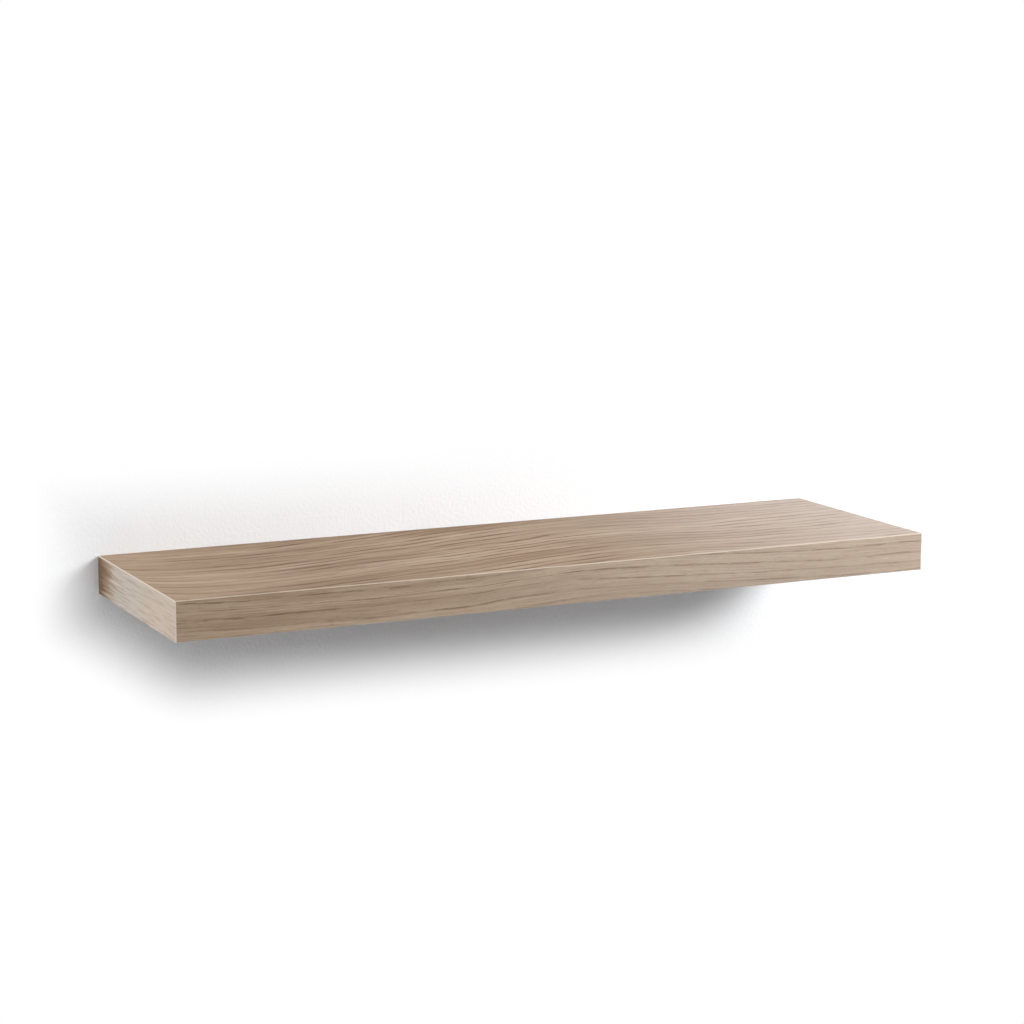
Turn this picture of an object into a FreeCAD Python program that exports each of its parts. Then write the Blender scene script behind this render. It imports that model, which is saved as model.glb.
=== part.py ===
import FreeCAD, Part
import math
import os

# A floating wall shelf: a hollow-core board that slides over the rods of a hidden steel bracket.
#
# The board is two hardboard skins on a particleboard frame, with paper honeycomb in the bays, oak-decor
# laminate above and below, and edge band on the front and both ends. Its back is open between the skins,
# so that the bracket's plate hides in a channel there. The plate is screwed to the wall, three welded rods
# stand out of it into bores in the board's ribs, and two grub screws in the underside lock the board to them.
#
# Millimetres. X runs along the shelf, Y = 0 is the wall with the room on the -Y side, and Z = 0 is the
# middle of the board's thickness.

# --- Board ----------------------------------------------------------------------------------------
SHELF_LENGTH = 800.0
SHELF_DEPTH = 235.0
SHELF_THICKNESS = 38.0
LAMINATE = 0.6  # decor laminate on the top and the underside
BAND = 1.3  # edge band on the front and the ends
ARRIS_RADIUS = 1.0  # easing of the band's outer corners
ARRIS_SHARE = 0.8  # of the band's thickness, at most
SKIN = 4.0  # hardboard under each laminate

# --- Frame inside the board -----------------------------------------------------------------------
END_RAIL_WIDTH = 30.0
FRONT_RAIL_WIDTH = 30.0
BACK_RAIL_WIDTH = 40.0
RIB_WIDTH = 50.0

# --- Paper honeycomb ------------------------------------------------------------------------------
CELL_ACROSS_FLATS = 15.0
PAPER = 0.5  # two glued layers of kraft paper

# --- Staples that hold the frame while the skins are glued ----------------------------------------
STAPLE_CROWN = 10.0
STAPLE_LEG = 10.0
STAPLE_WIRE_WIDTH = 1.2
STAPLE_WIRE_THICKNESS = 0.6

# --- Bracket --------------------------------------------------------------------------------------
PLATE_THICKNESS = 4.0
PLATE_EDGE_GAP = 1.9  # plate to each skin
PLATE_END_GAP = 18.7  # plate to each end rail
PLATE_CORNER_RADIUS = 3.0
PLATE_FRONT_GAP = 2.0  # plate to the back rail
OUTER_SCREW_TO_PLATE_END = 20.0
ROD_PLACES = ("left", "centre", "right")
ROD_DIAMETER = 12.0
ROD_TIP_CHAMFER = 1.5
ROD_TIP_TO_SHELF_FRONT = 75.0
ROD_CLEARANCE = 0.3  # radial, in the board's bores
BORE_PAST_ROD = 6.0
WELD_LEG = 3.0
WELD_BULGE = 0.6  # of the leg, at the bead's middle, where 0.5 would be flat
WELD_CLEARANCE = 2.0  # radial, in the pocket at each bore's mouth
SLOT_WIDTH = 5.5
SLOT_LENGTH = 16.0

# --- Wall screws and plugs ------------------------------------------------------------------------
SCREW_DIAMETER = 5.0
SCREW_LENGTH = 50.0
SCREW_HEAD_DIAMETER = 9.6
SCREW_THREAD_DEPTH = 0.8
SCREW_PITCH = 2.6
SCREW_POINT = 5.0
SCREW_HOLE_CLEARANCE = 0.25  # radial, in the plate
RECESS_WIDTH = 1.2  # cross recess of a wall screw
RECESS_SPAN = 4.0
RECESS_DEPTH = 1.9
PLUG_WALL = 1.5  # round the screw
PLUG_LENGTH = 40.0
PLUG_BELOW_SURFACE = 2.5
PLUG_COLLAR = 12.0  # plain length at the plug's mouth
PLUG_TOOTH = 4.0
PLUG_TOOTH_DEPTH = 0.7
PLUG_TOOTH_STEEP_SIDE = 0.4
PLUG_SLIT = 1.0

# --- Grub screws that lock the board, in insert nuts ----------------------------------------------
LOCK_DIAMETER = 5.0
LOCK_PITCH = 0.8
LOCK_THREAD_DEPTH = 0.5
LOCK_SOCKET_ACROSS_FLATS = 2.5
LOCK_SOCKET_DEPTH = 3.0
LOCK_TO_ROD = 0.1
LOCK_BELOW_SURFACE = 0.9
LOCK_CLEARANCE = 0.05  # radial, in the insert nut
LOCK_PASSAGE_CLEARANCE = 0.3  # radial, in the wood above the nut
INSERT_DIAMETER = 8.0
INSERT_BELOW_SURFACE = 1.0
INSERT_TO_BORE = 1.7  # wood between a nut and the rod bore above it
INSERT_GROOVE_DEPTH = 0.4
INSERT_GROOVE_PITCH = 2.0

# --- Working values of the model, which are not sizes of the shelf --------------------------------
SAME_PLACE = 1e-6  # two places this near are one place
SPARE_CELLS = 2  # honeycomb cells laid out past each side of a bay, before it is trimmed

# --- Worked out from the sizes above --------------------------------------------------------------
HALF_LENGTH = SHELF_LENGTH / 2
HALF_THICKNESS = SHELF_THICKNESS / 2
FRONT = -SHELF_DEPTH
CORE_HALF_LENGTH = HALF_LENGTH - BAND
CORE_FRONT = FRONT + BAND
SKIN_OUTER = HALF_THICKNESS - LAMINATE
SKIN_INNER = SKIN_OUTER - SKIN
BAY_HALF_LENGTH = CORE_HALF_LENGTH - END_RAIL_WIDTH
BAY_FRONT = CORE_FRONT + FRONT_RAIL_WIDTH
BACK_RAIL_REAR = -(PLATE_THICKNESS + PLATE_FRONT_GAP)
BAY_REAR = BACK_RAIL_REAR - BACK_RAIL_WIDTH

PLATE_LENGTH = 2 * (BAY_HALF_LENGTH - PLATE_END_GAP)
PLATE_HEIGHT = 2 * (SKIN_INNER - PLATE_EDGE_GAP)
ROD_COUNT = len(ROD_PLACES)
ROD_PITCH = (PLATE_LENGTH - 2 * OUTER_SCREW_TO_PLATE_END) / ROD_COUNT
ROD_RADIUS = ROD_DIAMETER / 2
ROD_TIP = FRONT + ROD_TIP_TO_SHELF_FRONT
BORE_RADIUS = ROD_RADIUS + ROD_CLEARANCE
BORE_END = ROD_TIP - BORE_PAST_ROD
ROD_XS = [ROD_PITCH * (n - (ROD_COUNT - 1) / 2) for n in range(ROD_COUNT)]
SCREW_XS = [ROD_PITCH * (n - ROD_COUNT / 2) for n in range(ROD_COUNT + 1)]
SLOT_XS = [(ROD_XS[0] + SCREW_XS[1]) / 2, (ROD_XS[-1] + SCREW_XS[-2]) / 2]
LOCK_XS = [ROD_XS[0], ROD_XS[-1]]
LOCK_Y = BACK_RAIL_REAR - BACK_RAIL_WIDTH / 2
LOCK_TOP = -(ROD_RADIUS + LOCK_TO_ROD)
LOCK_BOTTOM = LOCK_BELOW_SURFACE - HALF_THICKNESS
INSERT_TOP = -(BORE_RADIUS + INSERT_TO_BORE)
INSERT_BOTTOM = INSERT_BELOW_SURFACE - HALF_THICKNESS

X, Y, Z = FreeCAD.Vector(1, 0, 0), FreeCAD.Vector(0, 1, 0), FreeCAD.Vector(0, 0, 1)


def block(x0, x1, y0, y1, z0, z1):
    """A box between two corners."""
    return Part.makeBox(x1 - x0, y1 - y0, z1 - z0, FreeCAD.Vector(x0, y0, z0))


def slab(shape_outline, z0, z1):
    """A flat face at Z = 0, lifted to z0 and made solid up to z1."""
    shape_outline.translate(Z * z0)
    return shape_outline.extrude(Z * (z1 - z0))


def polygon(points):
    """A closed flat face through the points."""
    return Part.Face(Part.makePolygon([FreeCAD.Vector(*p) for p in points + points[:1]]))


def hexagon(x, y, corner_radius, first_corner):
    """A regular hexagon at Z = 0, with its first corner at that angle in degrees."""
    angles = [math.radians(first_corner + 60 * n) for n in range(6)]
    return polygon([(x + corner_radius * math.cos(a), y + corner_radius * math.sin(a), 0) for a in angles])


def turned(profile, axis):
    """A solid turned about Y or Z through the origin, from (distance along the axis, radius) pairs."""
    outline = [tuple(X * radius + axis * along) for along, radius in profile]
    return polygon(outline).revolve(FreeCAD.Vector(), axis, 360)


def placed(shape, x=0.0, y=0.0, z=0.0):
    """A copy of the shape, moved."""
    copy = shape.copy()
    copy.translate(FreeCAD.Vector(x, y, z))
    return copy


def ridges(start, end, pitch, root, crest):
    """Profile points of thread-like rings from start to end: a V ridge in each pitch."""
    count = max(1, int(abs(end - start) / pitch))
    step = (end - start) / count
    points = []
    for n in range(count):
        foot = start + n * step
        points += [(foot, root), (foot + step / 2, crest)]
    return points + [(end, root)]


# --- Skins, laminates and edge bands --------------------------------------------------------------


def lock_holes():
    """What is drilled from below for the insert nuts, up to the nuts' tops."""
    height = INSERT_TOP + HALF_THICKNESS
    starts = [FreeCAD.Vector(x, LOCK_Y, -HALF_THICKNESS) for x in LOCK_XS]
    return [Part.makeCylinder(INSERT_DIAMETER / 2, height, start, Z) for start in starts]


def layer(z0, z1):
    """One full sheet of the board, inside the edge bands."""
    return block(-CORE_HALF_LENGTH, CORE_HALF_LENGTH, CORE_FRONT, 0, z0, z1)


def eased(shape, is_outer):
    """The shape with the edges that is_outer picks, by their middle point, rounded."""
    radius = min(ARRIS_RADIUS, ARRIS_SHARE * BAND)
    edges = [e for e in shape.Edges if is_outer(e.CenterOfMass)]
    return shape.makeFillet(radius, edges)


def front_band():
    """The band along the front, between the end bands."""
    band = block(-CORE_HALF_LENGTH, CORE_HALF_LENGTH, FRONT, CORE_FRONT, -HALF_THICKNESS, HALF_THICKNESS)
    return eased(band, lambda m: abs(m.y - FRONT) < SAME_PLACE and abs(m.x) < SAME_PLACE)


def end_band(side):
    """The band on one end: side is -1 for the left and 1 for the right."""
    inner, outer = sorted([side * CORE_HALF_LENGTH, side * HALF_LENGTH])
    band = block(inner, outer, FRONT, 0, -HALF_THICKNESS, HALF_THICKNESS)
    return eased(band, lambda m: abs(m.x - side * HALF_LENGTH) < SAME_PLACE and m.y < -SAME_PLACE)


# --- Frame ----------------------------------------------------------------------------------------


def staple():
    """A wire staple in the XZ plane: its crown is flush with Z = 0 and its legs point down."""
    half, wide, thin = STAPLE_CROWN / 2, STAPLE_WIRE_WIDTH / 2, STAPLE_WIRE_THICKNESS
    outline = [
        (-half, -wide, 0),
        (half, -wide, 0),
        (half, -wide, -STAPLE_LEG),
        (half - thin, -wide, -STAPLE_LEG),
        (half - thin, -wide, -thin),
        (thin - half, -wide, -thin),
        (thin - half, -wide, -STAPLE_LEG),
        (-half, -wide, -STAPLE_LEG),
    ]
    return polygon(outline).extrude(Y * STAPLE_WIRE_WIDTH)


def staples():
    """Every staple of the frame: each butt joint has one in its top face and one in its underside."""
    beside_bore = (BORE_RADIUS + RIB_WIDTH / 2) / 2
    rail_middles = [(CORE_FRONT + BAY_FRONT) / 2, (BACK_RAIL_REAR + BAY_REAR) / 2]
    across_end_joints = [(side * BAY_HALF_LENGTH, y) for side in (-1, 1) for y in rail_middles]
    rib_sides = [x + math.copysign(beside_bore, x) for x in ROD_XS]
    across_rib_joints = [(x, y) for x in rib_sides for y in (BAY_FRONT, BAY_REAR)]
    turned_over = FreeCAD.Rotation(X, 180)
    made = []
    for spots, turn in ((across_end_joints, 0), (across_rib_joints, 90)):
        for x, y in spots:
            for flip, z in ((FreeCAD.Rotation(), SKIN_INNER), (turned_over, -SKIN_INNER)):
                one = staple()
                one.Placement = FreeCAD.Placement(FreeCAD.Vector(x, y, z), flip * FreeCAD.Rotation(Z, turn))
                made.append(one)
    return made


def rod_bores():
    """The space of each rod in the board: a blind bore, with a wider pocket for the weld at its mouth."""
    pocket_radius = ROD_RADIUS + WELD_LEG + WELD_CLEARANCE
    pocket_end = -(PLATE_THICKNESS + WELD_LEG + PLATE_FRONT_GAP)
    made = []
    for x in ROD_XS:
        made.append(Part.makeCylinder(BORE_RADIUS, -BORE_END, FreeCAD.Vector(x, BORE_END, 0), Y))
        made.append(Part.makeCylinder(pocket_radius, -pocket_end, FreeCAD.Vector(x, pocket_end, 0), Y))
    return made


def lock_passages():
    """The way of each grub screw from its insert nut up into the rod bore."""
    radius = LOCK_DIAMETER / 2 + LOCK_PASSAGE_CLEARANCE
    starts = [FreeCAD.Vector(x, LOCK_Y, INSERT_TOP) for x in LOCK_XS]
    return [Part.makeCylinder(radius, -INSERT_TOP, start, Z) for start in starts]


def frame_pieces(frame_staples):
    """The particleboard frame: node name to solid, drilled and let in for the staples."""
    z0, z1 = -SKIN_INNER, SKIN_INNER
    pieces = {
        "left_end_rail": block(-CORE_HALF_LENGTH, -BAY_HALF_LENGTH, CORE_FRONT, 0, z0, z1),
        "right_end_rail": block(BAY_HALF_LENGTH, CORE_HALF_LENGTH, CORE_FRONT, 0, z0, z1),
        "front_rail": block(-BAY_HALF_LENGTH, BAY_HALF_LENGTH, CORE_FRONT, BAY_FRONT, z0, z1),
        "back_rail": block(-BAY_HALF_LENGTH, BAY_HALF_LENGTH, BAY_REAR, BACK_RAIL_REAR, z0, z1),
    }
    half_rib = RIB_WIDTH / 2
    for place, x in zip(ROD_PLACES, ROD_XS):
        pieces[f"rod_rib_{place}"] = block(x - half_rib, x + half_rib, BAY_FRONT, BAY_REAR, z0, z1)
    cuts = rod_bores() + lock_holes() + lock_passages() + frame_staples
    for name, piece in pieces.items():
        near = [c for c in cuts if piece.BoundBox.intersect(c.BoundBox)]
        pieces[name] = piece.cut(near).removeSplitter()
    return pieces


# --- Honeycomb ------------------------------------------------------------------------------------


def honeycomb(x0, x1):
    """Paper honeycomb that fills the bay from x0 to x1: hexagon cells, trimmed to the bay's sides."""
    row_pitch = CELL_ACROSS_FLATS * math.sqrt(3) / 2
    hole_radius = (CELL_ACROSS_FLATS - PAPER) / math.sqrt(3)
    middle_x, middle_y = (x0 + x1) / 2, (BAY_FRONT + BAY_REAR) / 2
    columns = int((x1 - x0) / 2 / CELL_ACROSS_FLATS) + SPARE_CELLS
    rows = int((BAY_REAR - BAY_FRONT) / 2 / row_pitch) + SPARE_CELLS
    holes = []
    for row in range(-rows, rows + 1):
        y = middle_y + row * row_pitch
        for column in range(-columns, columns + 1):
            x = middle_x + (column + (row % 2) / 2) * CELL_ACROSS_FLATS
            holes.append(hexagon(x, y, hole_radius, 30))
    bay = polygon([(x0, BAY_FRONT, 0), (x1, BAY_FRONT, 0), (x1, BAY_REAR, 0), (x0, BAY_REAR, 0)])
    sheet = max(bay.cut(holes).Faces, key=lambda face: face.Area)
    return slab(sheet, -SKIN_INNER, SKIN_INNER)


def honeycomb_bays():
    """(left, right) of each bay between the end rails and the ribs."""
    edges = [-BAY_HALF_LENGTH]
    for x in ROD_XS:
        edges += [x - RIB_WIDTH / 2, x + RIB_WIDTH / 2]
    edges.append(BAY_HALF_LENGTH)
    return list(zip(edges[0::2], edges[1::2]))


# --- Bracket --------------------------------------------------------------------------------------


def screw_seat():
    """A wall screw's hole through the plate, countersunk to the screw's own cone."""
    front, hole = -PLATE_THICKNESS, SCREW_DIAMETER / 2 + SCREW_HOLE_CLEARANCE
    head = SCREW_HEAD_DIAMETER / 2
    return turned([(front, 0), (front, head), (front + head - hole, hole), (0, hole), (0, 0)], Y)


def slot(x):
    """A levelling slot through the plate, along X."""
    radius = SLOT_WIDTH / 2
    half = SLOT_LENGTH / 2 - radius
    middle = block(x - half, x + half, -PLATE_THICKNESS, 0, -radius, radius)
    centres = [FreeCAD.Vector(x + side * half, 0, 0) for side in (-1, 1)]
    ends = [Part.makeCylinder(radius, PLATE_THICKNESS, centre, -Y) for centre in centres]
    return middle.fuse(ends).removeSplitter()


def wall_plate():
    """The flat bar against the wall: countersunk screw holes, two levelling slots and rounded corners."""
    half_length, half_height = PLATE_LENGTH / 2, PLATE_HEIGHT / 2
    bar = block(-half_length, half_length, -PLATE_THICKNESS, 0, -half_height, half_height)
    corners = [e for e in bar.Edges if abs(e.Vertexes[0].Y - e.Vertexes[1].Y) > PLATE_THICKNESS / 2]
    bar = bar.makeFillet(min(PLATE_CORNER_RADIUS, half_height / 2), corners)
    seats = [placed(screw_seat(), x) for x in SCREW_XS]
    return bar.cut(seats + [slot(x) for x in SLOT_XS]).removeSplitter()


def rod():
    """A round steel rod that stands on the plate, with a chamfered tip."""
    tip, root = ROD_TIP, -PLATE_THICKNESS
    neck = ROD_RADIUS - ROD_TIP_CHAMFER
    profile = [(tip, 0), (tip, neck), (tip + ROD_TIP_CHAMFER, ROD_RADIUS), (root, ROD_RADIUS), (root, 0)]
    return turned(profile, Y)


def weld():
    """The fillet weld round a rod's foot."""
    foot, bulge = -PLATE_THICKNESS, WELD_BULGE * WELD_LEG
    on_plate, on_rod = (foot, ROD_RADIUS + WELD_LEG), (foot - WELD_LEG, ROD_RADIUS)
    return turned([(foot, ROD_RADIUS), on_plate, (foot - bulge, ROD_RADIUS + bulge), on_rod], Y)


# --- Wall fixings ---------------------------------------------------------------------------------


def wall_screw():
    """A countersunk wood screw: head, smooth neck in the plate, thread in the plug, and a point."""
    neck, head = SCREW_DIAMETER / 2, SCREW_HEAD_DIAMETER / 2
    top, end = -PLATE_THICKNESS, SCREW_LENGTH - PLATE_THICKNESS
    core = neck - SCREW_THREAD_DEPTH
    thread = ridges(PLUG_BELOW_SURFACE, end - SCREW_POINT, SCREW_PITCH, core, neck)
    profile = [(top, 0), (top, head), (top + head - neck, neck), (PLUG_BELOW_SURFACE, neck)]
    screw = turned(profile + thread + [(end, 0)], Y)
    recess = []
    for width, height in ((RECESS_WIDTH, RECESS_SPAN), (RECESS_SPAN, RECESS_WIDTH)):
        recess.append(block(-width / 2, width / 2, top, top + RECESS_DEPTH, -height / 2, height / 2))
    return screw.cut(recess)


def wall_plug():
    """A nylon plug: a plain collar at its mouth, then saw teeth, with a slit that lets it spread."""
    bore = SCREW_DIAMETER / 2
    outer = bore + PLUG_WALL
    mouth, end = PLUG_BELOW_SURFACE, PLUG_BELOW_SURFACE + PLUG_LENGTH
    collar_end = mouth + PLUG_COLLAR
    count = max(1, int((end - collar_end) / PLUG_TOOTH))
    step = (end - collar_end) / count
    profile = [(mouth, bore), (mouth, outer), (collar_end, outer)]
    for n in range(count):
        start = collar_end + n * step
        profile += [(start + PLUG_TOOTH_STEEP_SIDE, outer - PLUG_TOOTH_DEPTH), (start + step, outer)]
    plug = turned(profile + [(end, bore)], Y)
    return plug.cut(block(-outer, outer, collar_end, end, -PLUG_SLIT / 2, PLUG_SLIT / 2))


# --- Locking screws -------------------------------------------------------------------------------


def insert_nut():
    """A brass nut pressed into the underside, with grooves round it that grip the wood."""
    outer, bore = INSERT_DIAMETER / 2, LOCK_DIAMETER / 2 + LOCK_CLEARANCE
    count = int((INSERT_TOP - INSERT_BOTTOM) / INSERT_GROOVE_PITCH)
    pitch = (INSERT_TOP - INSERT_BOTTOM) / count
    profile = [(INSERT_BOTTOM, bore), (INSERT_BOTTOM, outer)]
    for n in range(1, count):
        middle = INSERT_BOTTOM + n * pitch
        groove = [(middle - INSERT_GROOVE_DEPTH, outer), (middle, outer - INSERT_GROOVE_DEPTH)]
        profile += groove + [(middle + INSERT_GROOVE_DEPTH, outer)]
    return turned(profile + [(INSERT_TOP, outer), (INSERT_TOP, bore)], Z)


def lock_screw():
    """A flat-point grub screw with a hexagon socket in its lower end."""
    crest = LOCK_DIAMETER / 2
    thread = ridges(LOCK_BOTTOM, LOCK_TOP, LOCK_PITCH, crest - LOCK_THREAD_DEPTH, crest)
    screw = turned([(LOCK_BOTTOM, 0)] + thread + [(LOCK_TOP, 0)], Z)
    socket = hexagon(0, 0, LOCK_SOCKET_ACROSS_FLATS / math.sqrt(3), 0)
    return screw.cut(slab(socket, LOCK_BOTTOM, LOCK_BOTTOM + LOCK_SOCKET_DEPTH))


# --- Assembly -------------------------------------------------------------------------------------


def assembly():
    """Every node of the shelf: name to the list of its solids."""
    frame_staples = staples()
    nodes = {
        "wall_plate": [wall_plate()],
        "rod_welds": [placed(weld(), x) for x in ROD_XS],
        "wall_screws": [placed(wall_screw(), x) for x in SCREW_XS],
        "wall_plugs": [placed(wall_plug(), x) for x in SCREW_XS],
        "top_laminate": [layer(SKIN_OUTER, HALF_THICKNESS)],
        "top_skin": [layer(SKIN_INNER, SKIN_OUTER)],
        "bottom_skin": [layer(-SKIN_OUTER, -SKIN_INNER).cut(lock_holes())],
        "bottom_laminate": [layer(-HALF_THICKNESS, -SKIN_OUTER).cut(lock_holes())],
        "front_edge_band": [front_band()],
        "left_edge_band": [end_band(-1)],
        "right_edge_band": [end_band(1)],
        "frame_staples": frame_staples,
        "insert_nuts": [placed(insert_nut(), x, LOCK_Y) for x in LOCK_XS],
    }
    for place, x in zip(ROD_PLACES, ROD_XS):
        nodes[f"rod_{place}"] = [placed(rod(), x)]
    for name, x in zip(("lock_screw_left", "lock_screw_right"), LOCK_XS):
        nodes[name] = [placed(lock_screw(), x, LOCK_Y)]
    for name, piece in frame_pieces(frame_staples).items():
        nodes[name] = [piece]
    for number, (x0, x1) in enumerate(honeycomb_bays(), start=1):
        nodes[f"honeycomb_bay_{number}"] = [honeycomb(x0, x1)]
    return nodes


os.makedirs("parts", exist_ok=True)
for node, solids in assembly().items():
    shape = solids[0] if len(solids) == 1 else Part.makeCompound(solids)
    shape.exportStep(f"parts/{node}.step")
    print(node, "solids", len(shape.Solids), "valid", shape.isValid(), "volume", round(shape.Volume, 1))
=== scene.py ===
# A floating wall shelf in oak decor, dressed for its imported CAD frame. Metres, in the frame's own axes: X
# runs along the shelf, Y = 0 is the wall with the room on the -Y side, and Z = 0 is the middle of the board.
import math
import random

import bmesh
import bpy
from mathutils import Matrix, Vector


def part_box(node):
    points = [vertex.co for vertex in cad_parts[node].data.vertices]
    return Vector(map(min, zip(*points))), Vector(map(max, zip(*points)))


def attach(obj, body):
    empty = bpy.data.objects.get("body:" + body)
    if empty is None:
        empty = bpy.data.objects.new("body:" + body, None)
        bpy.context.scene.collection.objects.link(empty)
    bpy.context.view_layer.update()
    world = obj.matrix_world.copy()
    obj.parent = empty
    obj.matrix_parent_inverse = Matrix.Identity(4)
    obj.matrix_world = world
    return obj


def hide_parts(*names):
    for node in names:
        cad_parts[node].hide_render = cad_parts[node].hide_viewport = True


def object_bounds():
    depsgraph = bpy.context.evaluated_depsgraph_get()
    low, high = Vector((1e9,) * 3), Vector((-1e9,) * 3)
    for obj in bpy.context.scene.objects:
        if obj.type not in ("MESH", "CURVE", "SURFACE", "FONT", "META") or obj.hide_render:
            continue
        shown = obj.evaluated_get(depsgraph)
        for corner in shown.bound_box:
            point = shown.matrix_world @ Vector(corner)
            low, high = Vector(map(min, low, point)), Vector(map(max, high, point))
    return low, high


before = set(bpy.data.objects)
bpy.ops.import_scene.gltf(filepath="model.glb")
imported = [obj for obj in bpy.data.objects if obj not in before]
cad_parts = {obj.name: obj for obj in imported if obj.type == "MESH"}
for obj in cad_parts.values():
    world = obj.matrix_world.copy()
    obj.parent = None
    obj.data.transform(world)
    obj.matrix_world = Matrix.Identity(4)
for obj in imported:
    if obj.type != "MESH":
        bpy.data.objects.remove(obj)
cad_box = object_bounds()

# --- Camera -----------------------------------------------------------------------------------
# A long lens, a little above the shelf and to its left, so that the top, the front and the left end all show.
# It leans a fifth of a degree to one side.
CAMERA_PLACE = Vector((-1.098, -2.377, 0.495))
CAMERA_TURN = math.radians(25.71)  # to the right of straight at the wall
CAMERA_DROP = math.radians(10.01)
CAMERA_LEAN = math.radians(0.18)
LENS = 90.07
SENSOR = 36.0

camera = bpy.data.objects.new("camera", bpy.data.cameras.new("camera"))
camera.data.sensor_width = SENSOR
camera.data.lens = LENS
upright = Matrix.Rotation(math.pi / 2 - CAMERA_DROP, 4, "X")
heading = Matrix.Rotation(-CAMERA_TURN, 4, "Z")
lean = Matrix.Rotation(CAMERA_LEAN, 4, "Z")
camera.matrix_world = Matrix.Translation(CAMERA_PLACE) @ heading @ upright @ lean
bpy.context.scene.collection.objects.link(camera)
bpy.context.scene.camera = camera


# --- Wall plate -------------------------------------------------------------------------------
# A flat bar of mild steel, sheared to length and punched, then zinc plated and clear passivated. The plating
# leaves it a cloudy blue-white, with the rolling lines of the bar showing through along X.
def paint(red, green, blue):
    """A colour written as it looks on a screen, 0 to 255, in the linear values that a shader takes."""
    parts = [c / 255 for c in (red, green, blue)]
    return (*(c / 12.92 if c <= 0.04045 else ((c + 0.055) / 1.055) ** 2.4 for c in parts), 1.0)


class Finish:
    """A material in the making: each call adds a node and returns what it puts out."""

    def __init__(self, name, metallic=0.0, specular=0.5):
        self.material = bpy.data.materials.new(name)
        self.material.use_nodes = True
        self.shader = self.material.node_tree.nodes["Principled BSDF"]
        self.shader.inputs["Metallic"].default_value = metallic
        self.shader.inputs["Specular IOR Level"].default_value = specular
        self.coordinates = self.material.node_tree.nodes.new("ShaderNodeTexCoord")
        self.place = self.coordinates.outputs["Object"]

    def give(self, socket, value):
        if isinstance(value, bpy.types.NodeSocket):
            self.material.node_tree.links.new(value, socket)
        else:
            socket.default_value = value

    def add(self, kind, inputs, output=0, **settings):
        node = self.material.node_tree.nodes.new(kind)
        for setting, value in settings.items():
            setattr(node, setting, value)
        for socket, value in inputs.items():
            self.give(node.inputs[socket], value)
        return node.outputs[output]

    def math(self, operation, *values):
        return self.add("ShaderNodeMath", dict(enumerate(values)), operation=operation)

    def axes(self, place):
        """The X, Y and Z of a place."""
        return list(self.add("ShaderNodeSeparateXYZ", {0: place}).node.outputs)

    def joined(self, x, y, z=0.0):
        return self.add("ShaderNodeCombineXYZ", {0: x, 1: y, 2: z})

    def noise(self, place, feature, detail=2.0, roughness=0.5, seed=0.0):
        """Soft noise, 0 to 1, whose features are that large along X, Y and Z, in metres."""
        steps = tuple(1 / size for size in feature)
        counted = self.add(
            "ShaderNodeVectorMath", {0: place, 1: steps, 2: (seed, seed, seed)}, operation="MULTIPLY_ADD"
        )
        return self.add(
            "ShaderNodeTexNoise", {"Vector": counted, "Scale": 1.0, "Detail": detail, "Roughness": roughness}
        )

    def cells(self, place, feature):
        """Cells that large along X, Y and Z: one random value for each, and the distance to its middle."""
        steps = tuple(1 / size for size in feature)
        counted = self.add("ShaderNodeVectorMath", {0: place, 1: steps}, operation="MULTIPLY")
        colour = self.add("ShaderNodeTexVoronoi", {"Vector": counted, "Scale": 1.0}, 1)
        return self.axes(colour)[0], colour.node.outputs[0]

    def ramp(self, value, low, high, to_low=0.0, to_high=1.0):
        """A smooth step: to_low up to low, to_high from high on."""
        ends = {0: value, 1: low, 2: high, 3: to_low, 4: to_high}
        return self.add("ShaderNodeMapRange", ends, interpolation_type="SMOOTHSTEP")

    def curve(self, value, points):
        """A smooth line through (value, result) points, both 0 to 1."""
        bent = self.add("ShaderNodeFloatCurve", {1: value}).node
        line = bent.mapping.curves[0].points
        while len(line) < len(points):
            line.new(0.5, 0.5)
        for corner, point in zip(line, points):
            corner.location = point
        bent.mapping.update()
        return bent.outputs[0]

    def mix(self, amount, first, second):
        """Two colours mixed: none of the second at 0, and all of it at 1."""
        return self.add("ShaderNodeMix", {0: amount, 6: first, 7: second}, 2, data_type="RGBA")

    def wear(self, colour, roughness, height=None, depth=0.0):
        """Links what the surface looks like, with a bump that is depth metres from low to high."""
        self.give(self.shader.inputs["Base Color"], colour)
        self.give(self.shader.inputs["Roughness"], roughness)
        if height is not None:
            bump = self.add("ShaderNodeBump", {"Strength": 1.0, "Distance": depth, "Height": height})
            self.give(self.shader.inputs["Normal"], bump)
        return self


def dress(finish, *nodes):
    """Gives CAD nodes a finish."""
    for node in nodes:
        for material_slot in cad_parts[node].material_slots:
            material_slot.material = finish.material


ZINC_LIGHT = paint(180, 184, 188)
ZINC_DULL = paint(140, 145, 150)
ROLLING_LINE = (0.090, 0.010, 0.0006)  # a feature's length along the bar, and its size across
CLOUD = (0.030, 0.030, 0.012)
PLATING_GRAIN = (0.0007, 0.0007, 0.0007)

plating = Finish("zinc_plated_bar", metallic=1.0)
cloud = plating.noise(plating.place, CLOUD, detail=3.0)
rolling = plating.noise(plating.place, ROLLING_LINE, detail=3.0)
grit = plating.noise(plating.place, PLATING_GRAIN)
dulled = plating.ramp(cloud, 0.35, 0.65, 0.0, 0.4)
dulled = plating.math("ADD", dulled, plating.math("MULTIPLY", rolling, 0.4))
plating.wear(
    plating.mix(dulled, ZINC_LIGHT, ZINC_DULL),
    plating.math("ADD", plating.ramp(cloud, 0.35, 0.65, 0.30, 0.42), plating.math("MULTIPLY", grit, 0.10)),
    plating.math("ADD", plating.math("MULTIPLY", rolling, 0.7), plating.math("MULTIPLY", grit, 0.3)),
    depth=0.00006,
)
dress(plating, "wall_plate")

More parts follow.
